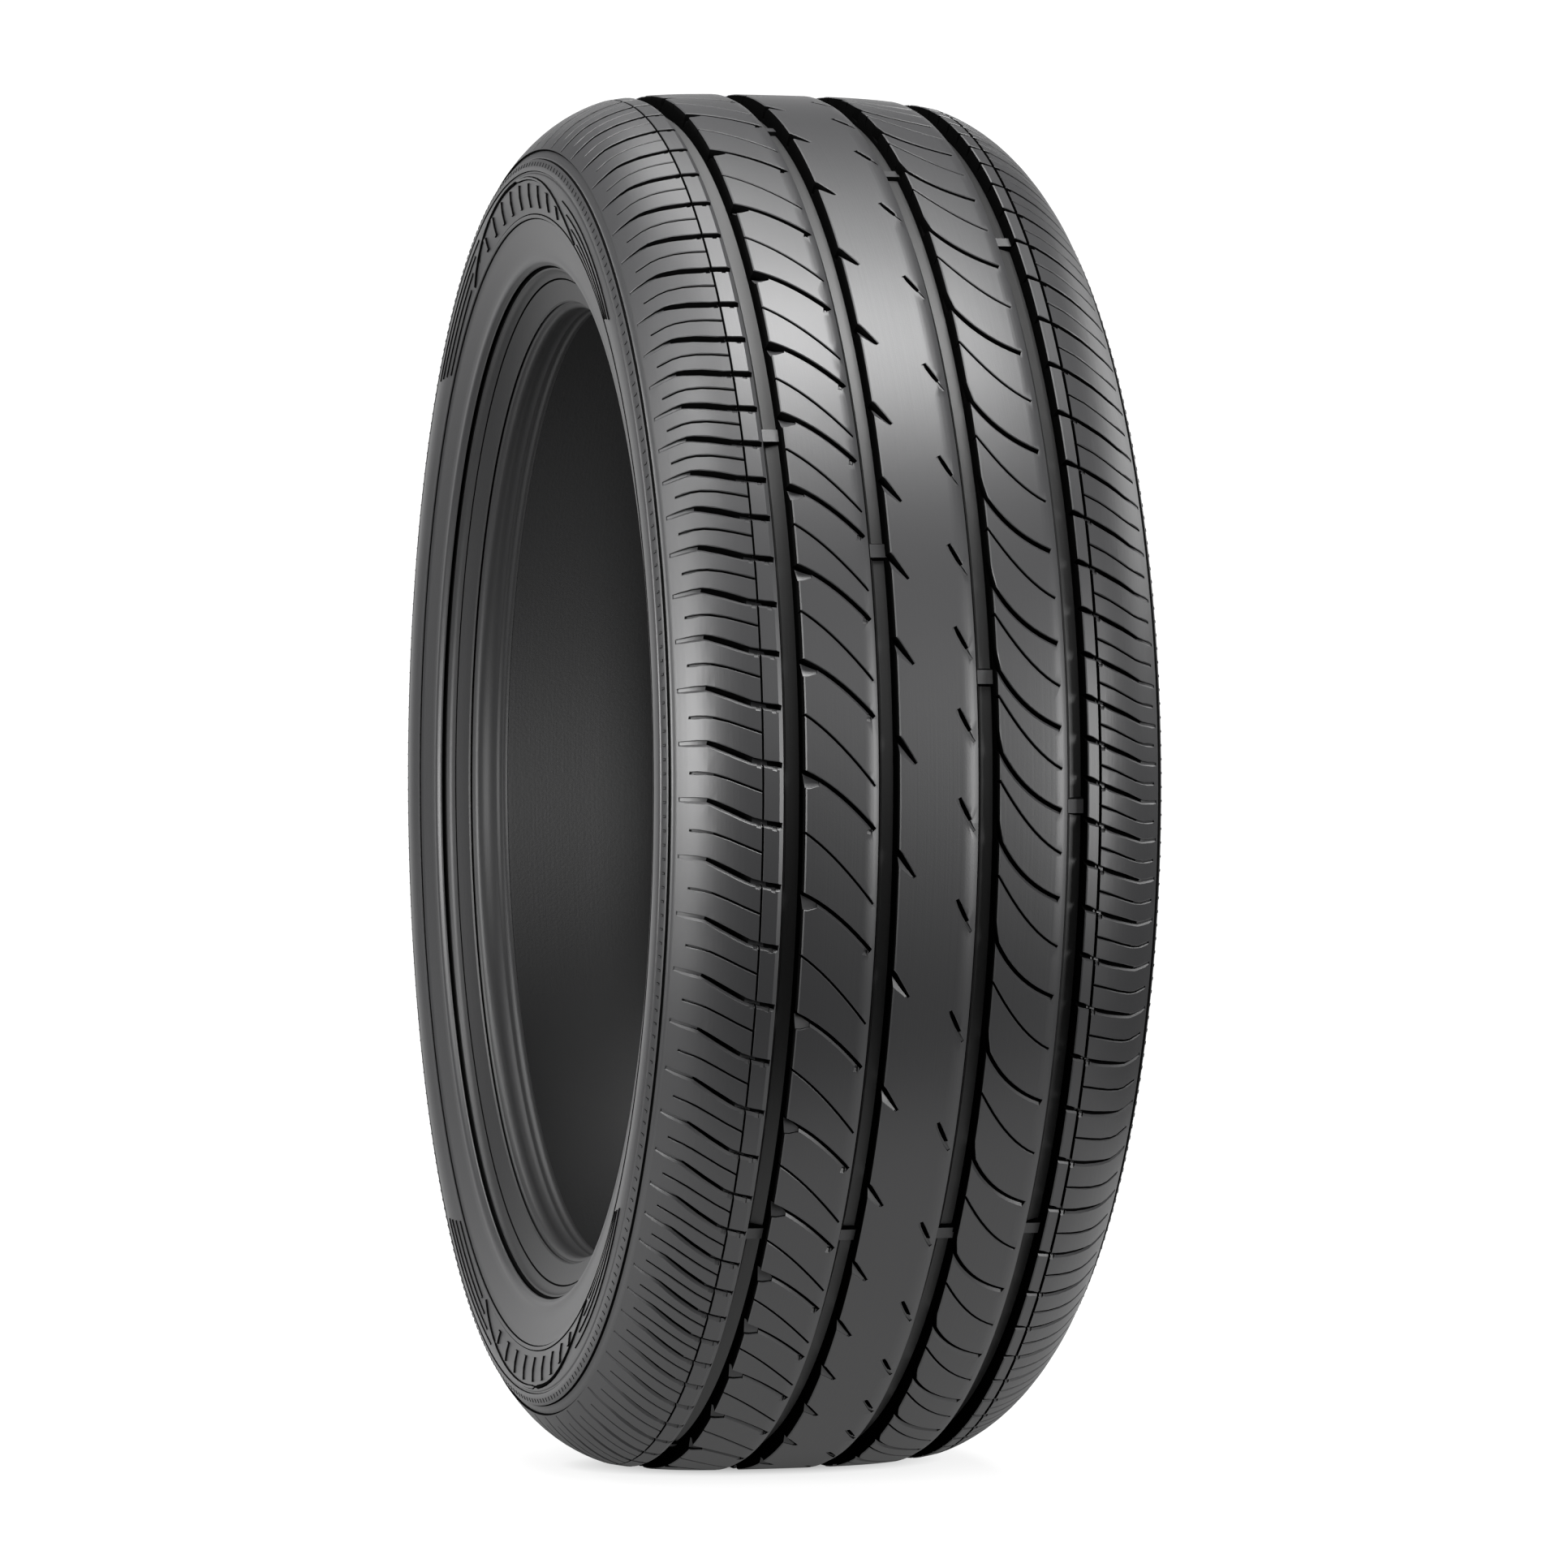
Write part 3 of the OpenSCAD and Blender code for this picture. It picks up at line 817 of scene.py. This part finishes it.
def addPaper():
    line = [(paper["front"], 0.0), (0.0, 0.0), (paper["back"] / 2, 0.0)]
    for i in range(paper["bendSteps"] + 1):
        turn = math.pi / 2 * i / paper["bendSteps"]
        line.append((paper["back"] - paper["bend"] * math.sin(turn), paper["bend"] * (1 - math.cos(turn))))
    line.append((line[-1][0], paper["top"]))
    bm = bmesh.new()
    verts = [bm.verts.new((x, paper["spread"] * (x - paper["apex"]), cadBox[0][2] + z)) for x, z in line]
    edges = [bm.edges.new(pair) for pair in zip(verts, verts[1:])]
    geom = bmesh.ops.extrude_edge_only(bm, edges=edges)["geom"]
    for v in geom:
        if isinstance(v, bmesh.types.BMVert):
            v.co.y = -v.co.y
    turn = math.radians(camera["azimuth"] - 90)
    bmesh.ops.rotate(bm, verts=bm.verts, cent=(0, 0, 0), matrix=Matrix.Rotation(turn, 3, "Z"))
    sheet = newPiece("whitePaper", bm)
    sheet.data.materials.append(whitePaper())
    sheet.data.shade_smooth()


# Soft lamps, all turned to the tyre's middle: elevation over the floor, azimuth from the camera towards the right
# of the picture, size in metres, and watts
lampDistance = 2.5
worldStrength = 0.08
lamps = {
    "keyHigh": (68, 34, (1.0, 1.0), 78),
    "highLeft": (66, -30, (1.1, 1.1), 18),
    "overhead": (90, 0, (1.3, 1.3), 27),
    "sideLeft": (4, -66, (0.8, 1.7), 36),
    "stripLeft": (5, -58, (0.3, 0.25), 40),
    "sideHigh": (34, -72, (1.0, 1.0), 18),
    "cornerLeft": (46, -54, (0.5, 0.5), 22),
    "backHigh": (66, -135, (1.1, 1.1), 20),
    "front": (14, 15, (1.2, 0.8), 8),
    "frontRight": (3, 54, (0.8, 1.1), 52),
    "rimLeft": (5, -150, (1.0, 1.2), 4),
    "rimRight": (22, 124, (1.8, 1.0), 17),
}


def addLamp(name, elevation, azimuth, size, power):
    data = bpy.data.lights.new(name, "AREA")
    data.shape = "RECTANGLE"
    data.size, data.size_y = size
    data.energy = power
    obj = addObject(name, data)
    turn = math.radians(camera["azimuth"] - 90 + azimuth)
    rise = math.radians(elevation)
    level = lampDistance * math.cos(rise)
    obj.location = (level * math.cos(turn), level * math.sin(turn), lampDistance * math.sin(rise))
    obj.rotation_euler = (-obj.location).to_track_quat("-Z", "Y").to_euler()


def addWorld():
    world = bpy.data.worlds.new("studio")
    bpy.context.scene.world = world
    world.use_nodes = True
    background = world.node_tree.nodes["Background"]
    background.inputs["Color"].default_value = grey(1)
    background.inputs["Strength"].default_value = worldStrength


addCamera()
addPaper()
addWorld()
for name, lamp in lamps.items():
    addLamp(name, *lamp)
print("studio", len(lamps), "lamps")
bpy.context.scene.view_settings.view_transform = "Standard"
